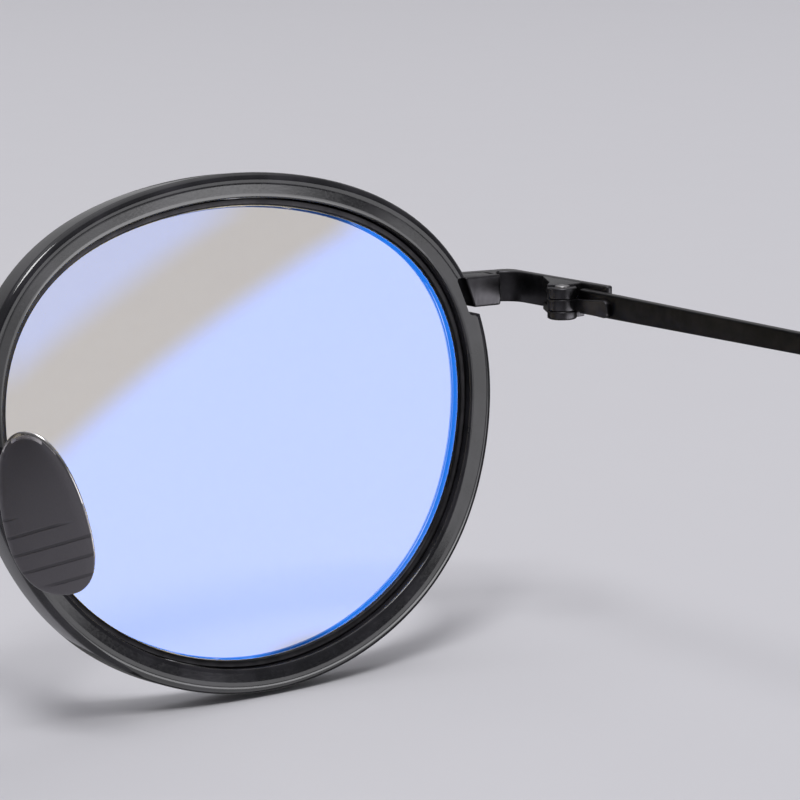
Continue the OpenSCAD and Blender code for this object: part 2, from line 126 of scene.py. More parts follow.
# Hinge screw: its head's radius and rise, how far the head starts below the barrel's top, how far its
# brim and top stand above it, and how far the foot is above the lowest knuckle's; then the head's slot
HEAD_R, HEAD_RISE, HEAD_SUNK, HEAD_BRIM, HEAD_TOP, SCREW_FOOT = 0.74, 0.2, 0.3, 0.02, 0.22, 0.05
SLOT_HALF, SLOT_TURN, SLOT_FLOOR = 0.11, 0.7, 0.04
# Bar: its first rings as (distance, inset), the first full ring, ring spacing and edge rounding
BAR_NOSE, BAR_FIRST, BAR_STEP, BAR_EDGE = ((0, 0.12), (0.05, 0.04), (0.15, 0)), 2, 2.6, 0.2
BAR_END = TEMPLE_LEN - 8
# Tip: half width and height at its start, its mouth's rings, and how it flares there; CAP_CLOSE keeps
# its last ring from shrinking to a point
TIP_THIN, TIP_STEP, TIP_MOUTH = (1, 1.3), 1.4, (0, 0.08, 0.2, 0.4, 0.8)
MOUTH_SIZE, MOUTH_FLARE, MOUTH_LEN, CAP_CLOSE = 0.8, 0.2, 0.5, 0.9995
# Nose pad: taper and squareness of its outline, crown, and how full its front and back are;
# BACK_CLOSE keeps the back just inside the thickness
PAD_TAPER, PAD_SQUARE, PAD_CROWN, PAD_FULL, PAD_BACK, BACK_CLOSE = 0.16, 0.86, 0.3, 14, 4, 0.999
PAD_RINGS = [0.02, 0.2, 0.4, 0.6, 0.75, 0.86, 0.92, 0.96, 0.985, 0.997]
# Bands of the pad's faces given the lighter edge metal, a painted highlight, with the sine of the angle
# where each one ends
HIGHLIGHT_BANDS = ((6, 0.93), (7, 0.72), (8, 0.1), (9, -2), (10, -2), (11, -2))
# The lug behind the pad: half its length, radius, rounding, and how far its neck stops short
LUG, LUG_R, LUG_EDGE, NECK_SHORT = 0.55, 0.6, 0.1, 0.2
# The wire that carries it: where it starts, the points that bow it, its radius, and how far beyond
# half a box's depth from the pivot it ends
STEM_START, STEM_BOW, STEM_LEAD = (-23.85, -3.0, -0.4), (-23.2, 3.4, 3.4), 3.4
STEM_R, STEM_SUNK = 0.45, 0.1
# Rounding in metres of the CAD shapes that stay
CAD_EDGE = 0.00008


# ---------------------------------------------------------------- outline and frames
def lens_r(a):
    """Radius of the lens opening at an angle."""
    return (MEAN + OVAL * math.cos(2 * a) + TUCK * math.cos(3 * a) + PANTO * math.sin(3 * a)
            + SQUARE * math.cos(4 * a) + CROWN * math.sin(5 * a) + FLAT * math.cos(6 * a))


def lens_pt(a, off=0.0):
    """A point of the lens opening's outline, moved outward by off."""
    p, q = (Vector((math.cos(b), math.sin(b))) * lens_r(b) for b in (a - TINY, a + TINY))
    t = (q - p).normalized()
    return Vector((math.cos(a), math.sin(a))) * lens_r(a) + Vector((t.y, -t.x)) * off


def on_rim(x, y, depth):
    """Rim plane to lens-centred millimetres: x outward, y up, depth forward, less the curve."""
    z = depth - (x * x + y * y - MEAN * MEAN) / (2 * BASE_R)
    b, c = -y * math.sin(TILT) - z * math.cos(TILT), y * math.cos(TILT) - z * math.sin(TILT)
    return Vector((x * math.cos(WRAP) - b * math.sin(WRAP),
                   x * math.sin(WRAP) + b * math.cos(WRAP), c))


def on_hinge(v):
    """A point from the hinge's axis to lens-centred millimetres."""
    return v + Vector((HINGE[0], HINGE[1], 0))


def on_temple(p):
    """Hinge-centred (out, back, up) to lens-centred millimetres."""
    c, s = math.cos(SPLAY), math.sin(SPLAY)
    return Vector((HINGE[0] + p[0] * c - p[1] * s, HINGE[1] + p[0] * s + p[1] * c, p[2]))


def pad_turn(p):
    """Turns a direction of the pad, (to the nose, across, up), as the pad is splayed and leans."""
    a = math.pi - PAD_SPLAY
    q = (p[0] * math.cos(a) - p[1] * math.sin(a), p[0] * math.sin(a) + p[1] * math.cos(a), p[2])
    c, s = math.cos(PAD_LEAN), math.sin(PAD_LEAN)
    return Vector((q[0] * c - q[2] * s, q[1], q[0] * s + q[2] * c))


def on_pad(p):
    """Pad-centred millimetres to lens-centred ones."""
    return Vector(PAD_AT) + pad_turn(p)


def on_lug(v):
    """A shape drawn about z onto the pad's pivot, whose axis lies across the pad."""
    return on_pad((v.x - PIVOT, v.z, v.y))


def to_row(p, right):
    """Lens-centred millimetres to the frame's metres."""
    x = LENS_X + p[0]
    return Vector((-x if right else x, RIM_Y + p[1], LENS_Z + p[2])) / 1000


# ---------------------------------------------------------------- making meshes
def mesh_of(verts, faces, right):
    """A bmesh in the frame, from lens-centred points."""
    bm = bmesh.new()
    vs = [bm.verts.new(to_row(v, right)) for v in verts]
    for f in faces:
        bm.faces.new([vs[i] for i in f])
    return bm


def new_object(name, bm):
    """An object in the scene from a bmesh, which it uses up."""
    me = bpy.data.meshes.new(name)
    bm.to_mesh(me)
    bm.free()
    ob = bpy.data.objects.new(name, me)
    bpy.context.scene.collection.objects.link(ob)
    return ob


def smooth(me, sharp):
    me.shade_smooth()
    me.set_sharp_from_angle(angle=math.radians(sharp))


def finish_piece(name, bm, body, material, nodes):
    """A visible piece on its body, standing for its CAD nodes."""
    bmesh.ops.recalc_face_normals(bm, faces=bm.faces)
    ob = new_object(name, bm)
    smooth(ob.data, SHARP)
    ob.data.materials.append(material)
    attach(ob, body)
    if nodes:
        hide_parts(*nodes)
    return ob


def emit(name, verts, faces, right, body, slot, material, nodes):
    """The same from lens-centred points and faces."""
    return finish_piece(name, mesh_of(verts, faces, right), body, material, nodes)


def skin(rings, loop=False):
    """Faces over a list of equal rings of points; open ends are capped."""
    n, m = len(rings), len(rings[0])
    verts = [p for r in rings for p in r]
    faces = [(i * m + j, i * m + (j + 1) % m, (i + 1) % n * m + (j + 1) % m, (i + 1) % n * m + j)
             for i in range(n if loop else n - 1) for j in range(m)]
    if not loop:
        faces += [tuple(range(m)), tuple(range((n - 1) * m, n * m))]
    return verts, faces


def circle(n):
    """The angles of n even steps round a circle."""
    return [2 * math.pi * i / n for i in range(n)]


def quarter(n):
    """The angles of n even steps through a right angle, both ends included."""
    return [k / n * math.pi / 2 for k in range(n + 1)]


def arc(cx, cy, r, a0, a1, n):
    """Points of an arc between two angles in degrees."""
    return [(cx + r * math.cos(math.radians(a0 + (a1 - a0) * i / n)),
             cy + r * math.sin(math.radians(a0 + (a1 - a0) * i / n))) for i in range(n + 1)]


def rounded_box(hx, hy, r, n):
    """A rounded rectangle's points."""
    corners = ((hx - r, hy - r, 0), (r - hx, hy - r, 90), (r - hx, r - hy, 180), (hx - r, r - hy, 270))
    return [p for cx, cy, a in corners for p in arc(cx, cy, r, a, a + 90, n)]


def rounded(path, n=10):
    """A closed path of (x, y, radius) with its corners rounded."""
    out = []
    for i, (x, y, r) in enumerate(path):
        a = Vector((x, y))
        if r == 0:
            out.append(a)
            continue
        p, b = Vector(path[i - 1][:2]), Vector(path[(i + 1) % len(path)][:2])
        u, v = (p - a).normalized(), (b - a).normalized()
        half = u.angle(v) / 2
        c = a + (u + v).normalized() * (r / math.sin(half))
        s = a + u * (r / math.tan(half)) - c
        turn = (-1 if u.x * v.y - u.y * v.x > 0 else 1) * (math.pi - 2 * half)
        out += [c + Matrix.Rotation(turn * k / n, 2) @ s for k in range(n + 1)]
    return out


def prism(path, z0, z1, r, steps=4):
    """Rings of a prism along z over a path, with its rims rounded by r."""
    n = len(path)
    area = sum(path[i - 1].x * path[i].y - path[i].x * path[i - 1].y for i in range(n))
    sign = 1 if area > 0 else -1
    rings = []
    levels = [(r * (1 - math.sin(t)), z0 + r * (1 - math.cos(t))) for t in quarter(steps)]
    levels += [(i, z1 - (z - z0)) for i, z in reversed(levels)]
    for inset, z in levels:
        ring = []
        for i in range(n):
            a, b, c = path[i - 1], path[i], path[(i + 1) % n]
            e, f = (b - a).normalized(), (c - b).normalized()
            m = (Vector((-e.y, e.x)) + Vector((-f.y, f.x))).normalized() * sign
            k = max(0.5, m.dot(Vector((-e.y, e.x)) * sign))
            q = b + m * inset / k
            ring.append(Vector((q.x, q.y, z)))
        rings.append(ring)
    return skin(rings)


def merge(*meshes):
    verts, faces = [], []
    for v, f in meshes:
        k = len(verts)
        verts += v
        faces += [tuple(i + k for i in g) for g in f]
    return verts, faces


def lathe(profile, n=48):
    """A turned solid about z from (radius, height) points."""
    return skin([[Vector((r * math.cos(a), r * math.sin(a), z)) for a in circle(n)]
                 for r, z in profile])


def moved(mesh, f):
    return [f(v) for v in mesh[0]], mesh[1]


def bar_at(s):
    """The temple's middle line at a distance along it: (back, up, slope)."""
    if s < BEND_START:
        return s, 0.0, 0.0
    if s < BEND_START + BEND_ARC:
        a = (s - BEND_START) / BEND_R
        return BEND_START + BEND_R * math.sin(a), BEND_R * (math.cos(a) - 1), a
    e = s - BEND_START - BEND_ARC
    return (BEND_START + BEND_R * math.sin(SLOPE) + e * math.cos(SLOPE),
            -BEND_DROP - e * math.sin(SLOPE), SLOPE)


def section_at(s, pts):
    """A cross section of (out, up) points set square to the temple's middle line."""
    x, z, a = bar_at(s)
    return [on_temple((BAR_IN + BAR_T / 2 + p[0], x + p[1] * math.sin(a),
                       TEMPLE_Z + z + p[1] * math.cos(a))) for p in pts]


def cubic(w, t):
    """A point on the curve of four control points."""
    return (w[0] * (1 - t) ** 3 + w[1] * 3 * t * (1 - t) ** 2 + w[2] * 3 * t * t * (1 - t)
            + w[3] * t ** 3)


def carve(ob, cut):
    """Cuts a hole out of a piece for good, and removes the cutter."""
    m = ob.modifiers.new("cut", "BOOLEAN")
    m.object, m.solver, m.operation = cut, "EXACT", "DIFFERENCE"
    dg = bpy.context.evaluated_depsgraph_get()
    me = bpy.data.meshes.new_from_object(ob.evaluated_get(dg))
    ob.modifiers.remove(m)
    old = ob.data
    ob.data = me
    bpy.data.meshes.remove(old)
    bpy.data.objects.remove(cut)
    smooth(me, SHARP_CUT)


def cutter(name, verts, faces, right):
    bm = mesh_of(verts, faces, right)
    bmesh.ops.recalc_face_normals(bm, faces=bm.faces)
    return new_object(name, bm)


# ---------------------------------------------------------------- materials
class Nodes:
    """Short calls for building a node tree."""
    def __init__(self, tree):
        self.t = tree
        tree.nodes.clear()

    def add(self, kind, **sockets):
        n = self.t.nodes.new(kind)
        for k, v in sockets.items():
            self.put(n.inputs[k], v)
        return n

    def put(self, socket, v):
        """Sets a socket to a constant, or links it to another socket."""
        if isinstance(v, bpy.types.NodeSocket):
            self.t.links.new(v, socket)
        else:
            socket.default_value = v

    def math(self, op, a, b=0.0):
        n = self.t.nodes.new("ShaderNodeMath")
        n.operation = op
        self.put(n.inputs[0], a)
        self.put(n.inputs[1], b)
        return n.outputs[0]

    def times(self, *values):
        out = values[0]
        for v in values[1:]:
            out = self.math("MULTIPLY", out, v)
        return out

    def ramp(self, v, lo, hi, to0=0.0, to1=1.0):
        """A smooth step from to0 at lo to to1 at hi."""
        n = self.t.nodes.new("ShaderNodeMapRange")
        n.interpolation_type = "SMOOTHSTEP"
        for i, w in enumerate((v, lo, hi, to0, to1)):
            self.put(n.inputs[i], w)
        return n.outputs[0]

    def mix(self, f, a, b):
        n = self.t.nodes.new("ShaderNodeMix")
        n.data_type = "RGBA"
        self.put(n.inputs[0], f)
        self.put(n.inputs[6], a)
        self.put(n.inputs[7], b)
        return n.outputs[2]

    def noise(self, scale, detail, stretch=(1, 1, 1)):
        """Noise with features of about 1/scale metres."""
        at = self.add("ShaderNodeTexCoord").outputs["Object"]
        m = self.add("ShaderNodeMapping", Vector=at, Scale=[s * scale for s in stretch])
        n = self.add("ShaderNodeTexNoise", Vector=m.outputs[0], Scale=1.0, Detail=detail)
        return n.outputs["Fac"]

    def bump(self, b, strength, distance, height):
        """Raises the surface of shader b by a height map."""
        bump = self.add("ShaderNodeBump", Strength=strength, Distance=distance, Height=height)
        self.put(b.inputs["Normal"], bump.outputs[0])


def surface(name, build):
    m = bpy.data.materials.new(name)
    m.use_nodes = True
    n = Nodes(m.node_tree)
    b = n.add("ShaderNodeBsdfPrincipled")
    build(n, b)
    n.put(n.add("ShaderNodeOutputMaterial").inputs["Surface"], b.outputs[0])
    return m


FINE_BUMP = 0.00002


def plating(n, b, dark, light):
    """Satin plating: fine brushed streaks, and a slightly lighter tone where it wears."""
    streak = n.noise(9000, 2, (1, 1, 0.06))
    cloud = n.noise(700, 4)
    tones = [(v, v * 0.97, v * 1.05, 1) for v in (dark, light)]
    n.put(b.inputs["Base Color"], n.mix(n.ramp(cloud, 0.3, 0.7), *tones))
    b.inputs["Metallic"].default_value = 1.0
    uneven = n.math("ADD", streak, n.times(cloud, 0.3))
    n.put(b.inputs["Roughness"], n.ramp(uneven, 0.3, 0.95, 0.3, 0.44))
    n.bump(b, 0.10, FINE_BUMP, streak)


def dark_metal(n, b):
    plating(n, b, 0.046, 0.070)


def black_metal(n, b):
    plating(n, b, 0.018, 0.028)


def pad_metal(n, b):
    """Gunmetal with a fine grain, and slanted grip grooves across its lower half."""
    slope, pitch, depth = -0.38, 0.00165, 0.00006
    top, bottom = (0.0212, 0.0206), (0.0146, 0.0154)
    grain = n.noise(12000, 2, (1, 1, 0.3))
    at = n.add("ShaderNodeTexCoord").outputs["Object"]
    p = n.add("ShaderNodeSeparateXYZ", Vector=at).outputs
    along = n.math("ADD", p[2], n.times(p[1], slope))
    wave = n.math("SINE", n.times(along, 2 * math.pi / pitch))
    part = n.times(n.ramp(p[2], *top), n.ramp(p[2], *bottom))
    groove_and_shade = n.times(n.ramp(wave, 0.75, 0.97), part)
    metal = n.mix(grain, (0.12, 0.115, 0.122, 1), (0.15, 0.144, 0.154, 1))
    # Painted shade: the grooves are darkened toward near black in colour, besides being sunk by the bump
    n.put(b.inputs["Base Color"], n.mix(n.times(groove_and_shade, 0.4), metal, (0.03, 0.029, 0.031, 1)))
    b.inputs["Metallic"].default_value = 1.0
    n.put(b.inputs["Roughness"], n.ramp(grain, 0.3, 0.7, 0.30, 0.42))
    n.bump(b, 0.5, depth, n.math("SUBTRACT", n.times(grain, 0.04), groove_and_shade))


def acetate(n, b):
    """Polished near-black acetate: faint marbling under the polish, and fine handling haze."""
    marble = n.noise(260, 5, (1, 0.5, 1))
    haze = n.noise(4200, 3)
    tones = (0.010, 0.010, 0.012, 1), (0.026, 0.025, 0.030, 1)
    n.put(b.inputs["Base Color"], n.mix(n.ramp(marble, 0.35, 0.75), *tones))
    n.put(b.inputs["Roughness"], n.ramp(haze, 0.35, 0.75, 0.05, 0.10))
    b.inputs["IOR"].default_value = 1.5
    n.bump(b, 0.03, FINE_BUMP, haze)


def polish_and_highlight_edge(n, b):
    """The pad's rolled edge, polished, and painted much lighter as a highlight."""
    edge_mottle = n.noise(500, 2)
    tones = (0.45, 0.44, 0.44, 1), (0.62, 0.60, 0.60, 1)
    n.put(b.inputs["Base Color"], n.mix(n.ramp(edge_mottle, 0.3, 0.7), *tones))
    b.inputs["Metallic"].default_value = 1.0
    n.put(b.inputs["Roughness"], n.ramp(edge_mottle, 0.3, 0.7, 0.16, 0.28))


def screw_steel(n, b):
    """Dark steel with a fine, uneven grain."""
    grain = n.noise(15000, 2)
    n.put(b.inputs["Base Color"], n.mix(grain, (0.2, 0.196, 0.2, 1), (0.36, 0.352, 0.355, 1)))
    b.inputs["Metallic"].default_value = 1.0
    n.put(b.inputs["Roughness"], n.ramp(grain, 0.3, 0.7, 0.26, 0.42))


def glass(n, b):
    """Clear lens, with a very slight unevenness of tint."""
    haze = n.noise(900, 3)
    tones = (0.99, 0.96, 0.91, 1), (1, 0.975, 0.93, 1)
    n.put(b.inputs["Base Color"], n.mix(n.ramp(haze, 0.3, 0.7), *tones))
    b.inputs["Roughness"].default_value = 0.012
    b.inputs["IOR"].default_value = 1.6
    b.inputs["Transmission Weight"].default_value = 1.0
    b.inputs["Specular Tint"].default_value = (0.1, 0.1, 0.12, 1)


def coated(n, b):
    """The same glass behind a coating that mirrors blue light."""
    glass(n, b)
    b.inputs["Specular Tint"].default_value = (0.12, 1.6, 6.8, 1)


def ground_edge_shade(n, b):
    """The lens's ground edge, painted near black for the shade of the dark groove it sits in."""
    grit = n.noise(20000, 2)
    n.put(b.inputs["Base Color"], n.mix(grit, (0.006, 0.006, 0.008, 1), (0.014, 0.014, 0.018, 1)))
    n.put(b.inputs["Roughness"], n.ramp(grit, 0.3, 0.7, 0.55, 0.75))
    n.bump(b, 0.2, FINE_BUMP, grit)


METAL = surface("dark_metal_satin", dark_metal)
BLACK = surface("black_metal_satin", black_metal)
PAD = surface("pad_gunmetal", pad_metal)
ACETATE = surface("acetate_polished", acetate)
STEEL = surface("screw_dark_steel", screw_steel)
LENS = surface("lens_blue_coating", coated)
CLEAR = surface("lens_front", glass)
EDGE_HIGHLIGHT = surface("pad_edge_polished", polish_and_highlight_edge)
GROUND_EDGE_SHADE = surface("lens_edge_ground", ground_edge_shade)


# ---------------------------------------------------------------- lens, eyewire and ring
def around(off, depth):
    """The rim's outline moved outward by off, at a depth."""
    return [on_rim(*lens_pt(a, off), depth) for a in circle(RIM_STEPS)]


def swept(section):
    """A closed ring round the opening, from (offset, depth) points."""
    return skin([[on_rim(*lens_pt(a, off), d) for off, d in section] for a in circle(RIM_STEPS)],
                loop=True)


def lens_mesh():
    """Both curved faces as rings of growing size, and the bevelled edge between them."""
    def face_ring(size, depth):
        return [on_rim(*(lens_pt(a) * size), depth) for a in circle(RIM_STEPS)]
    tip = BEVEL - 2 * GAP
    edge = [(-GAP - LENS_EDGE, LENS_Z0), (-GAP, LENS_Z0 + LENS_EDGE), (-GAP, GROOVE - BEVEL),
            (tip, GROOVE - LENS_EDGE), (tip, GROOVE + LENS_EDGE), (-GAP, GROOVE + BEVEL),
            (-GAP, LENS_Z1 - LENS_EDGE), (-GAP - LENS_EDGE, LENS_Z1)]
    return skin([face_ring(f, LENS_Z0) for f in LENS_RINGS] + [around(*p) for p in edge]
                + [face_ring(f, LENS_Z1) for f in reversed(LENS_RINGS)])


c = WIRE_EDGE
wire_section = (
    [(0, WIRE_Z0 + c), (0, GROOVE - BEVEL - GAP), (BEVEL - GAP, GROOVE), (0, GROOVE + BEVEL + GAP),
     (0, WIRE_Z1 - c)]
    + arc(c, WIRE_Z1 - c, c, 180, 90, 4)[1:] + arc(WIRE_W - c, WIRE_Z1 - c, c, 90, 0, 4)
    + arc(WIRE_W - c, WIRE_Z0 + c, c, 0, -90, 4) + arc(c, WIRE_Z0 + c, c, -90, -180, 4)[:-1])
rear_rounding = [(RING_W - REAR_EDGE + (x - RING_W + RING_EDGE) * REAR_EDGE / RING_EDGE, y)
                 for x, y in arc(RING_W - RING_EDGE, RING_EDGE, RING_EDGE, 272, 360, 12)]
ring_section = (
    [(SEAT, SEAT_MIDDLE), (SEAT, SEAT_REAR)]
    + arc(SEAT + REAR_FILLET, REAR_FILLET, REAR_FILLET, 180, 266, 5)
    + [(SEAT + ON_REAR, 0.0), (RING_W - REAR_EDGE - BEFORE_EDGE, 0.0)] + rear_rounding
    + arc(RING_W - RING_EDGE, RING_D - RING_EDGE, RING_EDGE, 0, 88, 10)
    + [(RING_W - RING_EDGE - BEFORE_EDGE, RING_D), (SEAT + ON_FRONT, RING_D)]
    + arc(SEAT + FRONT_FILLET, RING_D - FRONT_FILLET, FRONT_FILLET, 90, 180, 4)
    + [(SEAT, SEAT_FRONT)])


def rim_pieces(right, side):
    """The lens, the wire in its groove and the notched ring."""
    blank = emit("lens_blank_" + side, *lens_mesh(), right, "front", "blue_light_lens", LENS,
                 ["lens_" + side])
    blank.data.materials.append(CLEAR)
    blank.data.materials.append(GROUND_EDGE_SHADE)
    # Slot 0 is the coated rear face, 1 the clear front and 2 the ground edge, painted near black as shade
    for face in blank.data.polygons:
        face.material_index = 0 if face.normal.y > 0.5 else 1 if face.normal.y < -0.5 else 2
    # Lamps and diffuse rays pass the glass by, or it would throw a bright glow under the rim
    blank.visible_shadow = blank.visible_diffuse = False
    emit("wire_" + side, *swept(wire_section), right, "front", "dark_metal", BLACK,
         ["eyewire_" + side])
    ring = emit("ring_" + side, *swept(ring_section), right, "front", "rim_acetate", ACETATE,
                ["acetate_rim_" + side])
    cut = prism(rounded(NOTCH, 5), *NOTCH_REACH, 0.01, 1)
    carve(ring, cutter("notch", *moved(cut, lambda v: Vector((v.x, v.z, v.y))), right))


# ---------------------------------------------------------------- bridge
def bridge():
    sec = rounded_box(*BRIDGE_BAR, BRIDGE_EDGE, 4)
    rings = []
    for k in range(BRIDGE_STEPS + 1):
        a = math.radians(90 - BRIDGE_HALF + 2 * BRIDGE_HALF * k / BRIDGE_STEPS)
        rings.append([Vector((-LENS_X + (BRIDGE_R + y) * math.cos(a), BRIDGE_BACK + x,
                              BRIDGE_UP + (BRIDGE_R + y) * math.sin(a))) for x, y in sec])
    emit("bridge_bar", *skin(rings), False, "front", "dark_metal", METAL, ["bridge"])


# ---------------------------------------------------------------- end pieces and hinges
def rear(x):
    """Where the arm's rear face is, at a distance outward."""
    return ARM[1] + ARM[2] / ARM_COS + (x - ARM[0]) * RISE


arm_path = rounded([
    (ARM[0], ARM[1], 0), (WALL_X, ARM[1] + (WALL_X - ARM[0]) * RISE, CORNER_R),
    (WALL_X, WALL_END, WALL_TIP_R), (WALL_IN, WALL_END, WALL_TIP_R), (WALL_IN, rear(WALL_IN), INNER_R),
    (SWELL_X, rear(SWELL_X) + SWELL, SWELL_R), (LOCK_X1, FOOT_Y, 0), (FOOT_X, FOOT_Y, 0),
    (FOOT_X, rear(FOOT_X), 0), (ARM[0], rear(ARM[0]), 0)], 12)
web_path = rounded([
    (HINGE[0] + WEB_NEAR[0], HINGE[1] + WEB_NEAR[1], 0),
    (HINGE[0] + WEB_BEND[0], HINGE[1] + WEB_BEND[1], WEB_R),
    (WALL_IN - WEB_TUCK, HINGE[1] - WEB_WALL, 0), (WALL_MID, HINGE[1] - WEB_WALL, 0),
    (WALL_MID, HINGE[1] + WEB_FAR, 0), (HINGE[0], HINGE[1] + WEB_FAR, 0)], 12)


def barrel(z0, z1, top, bottom):
    """A knuckle between two heights, with its rims rounded."""
    r = BARREL_R
    prof = ([(TINY, z0)]
            + [(r - bottom + bottom * math.sin(t), z0 + bottom - bottom * math.cos(t)) for t in quarter(5)]
            + [(r - top + top * math.cos(t), z1 - top + top * math.sin(t)) for t in quarter(5)]
            + [(TINY, z1)])
    return moved(lathe(prof), on_hinge)


def closing_block(right, side):
    """The block in the ring's notch, rounded on every edge."""
    bm = bmesh.new()
    pts = []
    for z, x0 in zip((END_Z0, END_Z1), BLOCK_X0):
        inner = LOCK_Y1 - (LOCK_X1 - x0) * LOCK_RISE
        for x, y in ((x0, rear(x0)), (LOCK_X1, rear(LOCK_X1)), (LOCK_X1, LOCK_Y1), (x0, inner)):
            pts.append(bm.verts.new(to_row((x, y, z), right)))
    for f in ((3, 2, 1, 0), (4, 5, 6, 7), (0, 1, 5, 4), (1, 2, 6, 5), (2, 3, 7, 6), (3, 0, 4, 7)):
        bm.faces.new([pts[i] for i in f])
    bmesh.ops.bevel(bm, geom=list(bm.edges), offset=BLOCK_EDGE, segments=5, profile=0.5,
                    affect="EDGES", clamp_overlap=True)
    finish_piece("closing_block_" + side, bm, "front", METAL,
                 ["lock_upper_" + side, "lock_lower_" + side])


def arm_mesh():
    """The arm and its wall, with the inner end cut on the slant of the block."""
    bm = bmesh.new()
    verts, faces = prism(arm_path, END_Z0, END_Z1, ARM_EDGE)
    vs = [bm.verts.new(p) for p in verts]
    for g in faces:
        bm.faces.new([vs[i] for i in g])
    slant = Vector((END_Z1 - END_Z0, 0, ARM_END[0] - ARM_END[1])).normalized()
    res = bmesh.ops.bisect_plane(bm, geom=bm.verts[:] + bm.edges[:] + bm.faces[:],
                                 plane_co=(ARM_END[0], 0, END_Z0), plane_no=slant, clear_inner=True)
    cut = [e for e in res["geom_cut"] if isinstance(e, bmesh.types.BMEdge)]
    bmesh.ops.contextual_create(bm, geom=cut)
    bm.verts.index_update()
    verts = [p.co.copy() for p in bm.verts]
    faces = [tuple(q.index for q in g.verts) for g in bm.faces]
    bm.free()
    return verts, faces


def end_arm(right, side):
    """The arm with the outer knuckles and the webs that join them to its wall."""
    whole = merge(arm_mesh(),
                  prism(web_path, KNUCKLE[2] + SLIT, END_Z1 - WEB_DROP, WEB_EDGE_UP),
                  prism(web_path, KNUCKLE[0] + WEB_LIFT, KNUCKLE[1] - SLIT, WEB_EDGE_LOW),
                  barrel(KNUCKLE[2] + SLIT, BARREL_TOP, *UPPER_RIMS),
                  barrel(KNUCKLE[0], KNUCKLE[1] - SLIT, *LOWER_RIMS))
    emit("end_arm_" + side, *whole, right, "front", "dark_metal", METAL, ["end_piece_" + side])


def hinge_plate(right, side):
    """The middle knuckle and its leaf, on the temple."""
    z0, z1 = KNUCKLE[1] + SLIT, KNUCKLE[2] - SLIT
    leaf = rounded([(LEAF_ROOT, z0, 0), (LEAF_LEN, LEAF_Z[0], LEAF_R), (LEAF_LEN, LEAF_Z[1], LEAF_R),
                    (LEAF_SHOULDER, z1, SHOULDER_R), (LEAF_ROOT, z1, 0)], 8)
    plate = moved(prism(leaf, 0, LEAF_T + LEAF_SINK, LEAF_EDGE),
                  lambda p: on_temple((BAR_IN - LEAF_T + p.z, p.x, p.y)))
    emit("hinge_plate_" + side, *merge(plate, barrel(z0, z1, *MIDDLE_RIMS)), right,
         "temple_" + side, "dark_metal", METAL, ["hinge_leaf_" + side])


def hinge_screw(right, side):
    """The hinge screw, with a low domed and slotted head."""
    neck, brim, foot = BARREL_TOP - HEAD_SUNK, BARREL_TOP + HEAD_BRIM, KNUCKLE[0] + SCREW_FOOT
    dome = [(HEAD_R * math.cos(t), brim + HEAD_RISE * math.sin(t)) for t in quarter(7)[1:7]]
    screw = lathe([(TINY, foot), (PIN_R, foot), (PIN_R, neck), (HEAD_R, neck), (HEAD_R, brim)] + dome
                  + [(TINY, BARREL_TOP + HEAD_TOP)], SCREW_STEPS)
    ob = emit("hinge_screw_" + side, *moved(screw, on_hinge), right, "front", "screw_steel", STEEL, None)
    w = SLOT_HALF
    slot = prism([Vector(p) for p in ((-1, -w), (1, -w), (1, w), (-1, w))],
                 BARREL_TOP + SLOT_FLOOR, BARREL_TOP + 1, 0.001, 1)
    ca, sa = math.cos(SLOT_TURN), math.sin(SLOT_TURN)
    turned = moved(slot, lambda v: Vector((HINGE[0] + v.x * ca - v.y * sa,
                                           HINGE[1] + v.x * sa + v.y * ca, v.z)))
    carve(ob, cutter("slot", *turned, right))
    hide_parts("hinge_screws")


# ---------------------------------------------------------------- temples
def temple_bar(right, side):
    """The flat bar, tapering in height, with its front end rounded."""
    steps = (BAR_START + BAR_FIRST + BAR_STEP * i for i in range(int(TEMPLE_LEN / BAR_STEP)))
    stations = [(BAR_START + d, inset) for d, inset in BAR_NOSE]
    stations += [(s, 0) for s in steps if s < BAR_END] + [(BAR_END, 0)]
    rings = []
    for s, k in stations:
        h = BAR_H + (BAR_H_END - BAR_H) * min(1, s / BAR_TAPER)
        rings.append(section_at(s, rounded_box(BAR_T / 2 - k, h / 2 - k, BAR_EDGE, 5)))
    emit("temple_bar_" + side, *skin(rings), right, "temple_" + side, "dark_metal", BLACK,
         ["temple_" + side])


def tip_sleeve(right, side):
    """The acetate tip, growing towards its round end."""
    rings = []
    span = TEMPLE_LEN - TIP_CAP - TIP_START
    where = [TIP_START + d for d in TIP_MOUTH]
    where += [TIP_START + TIP_STEP * (i + 1) for i in range(int(span / TIP_STEP))]
    where += [TEMPLE_LEN - TIP_CAP + TIP_CAP * math.sin(t) for t in quarter(CAP_STEPS)]
    for s in where:
        t = (s - TIP_START) / (TEMPLE_LEN - TIP_START)
        e = max(0, (s - TEMPLE_LEN + TIP_CAP) / TIP_CAP)
        k = math.sqrt(max(0, 1 - e * e * CAP_CLOSE))
        k *= MOUTH_SIZE + MOUTH_FLARE * min(1, math.sqrt((s - TIP_START) / MOUTH_LEN))
        gx = k * (TIP_THIN[0] + (TIP_HALF[0] - TIP_THIN[0]) * math.sqrt(t))
        gy = k * (TIP_THIN[1] + (TIP_HALF[1] - TIP_THIN[1]) * t)
        rings.append(section_at(s, [(gx * math.cos(a), gy * math.sin(a)) for a in circle(TIP_STEPS)]))
    emit("tip_sleeve_" + side, *skin(rings), right, "temple_" + side, "tip_acetate", ACETATE,
         ["temple_tip_" + side])


# ---------------------------------------------------------------- nose pads
def egg(f, x):
    """The pad's outline shrunk by f, at a distance x toward the nose."""
    out = []
    for a in circle(PAD_STEPS):
        w = PAD_W / 2 * (1 - PAD_TAPER * math.sin(a))
        u, v = (math.copysign(abs(g) ** PAD_SQUARE, g) for g in (math.cos(a), math.sin(a)))
        out.append(on_pad((x, f * w * u, f * PAD_H / 2 * v)))
    return out


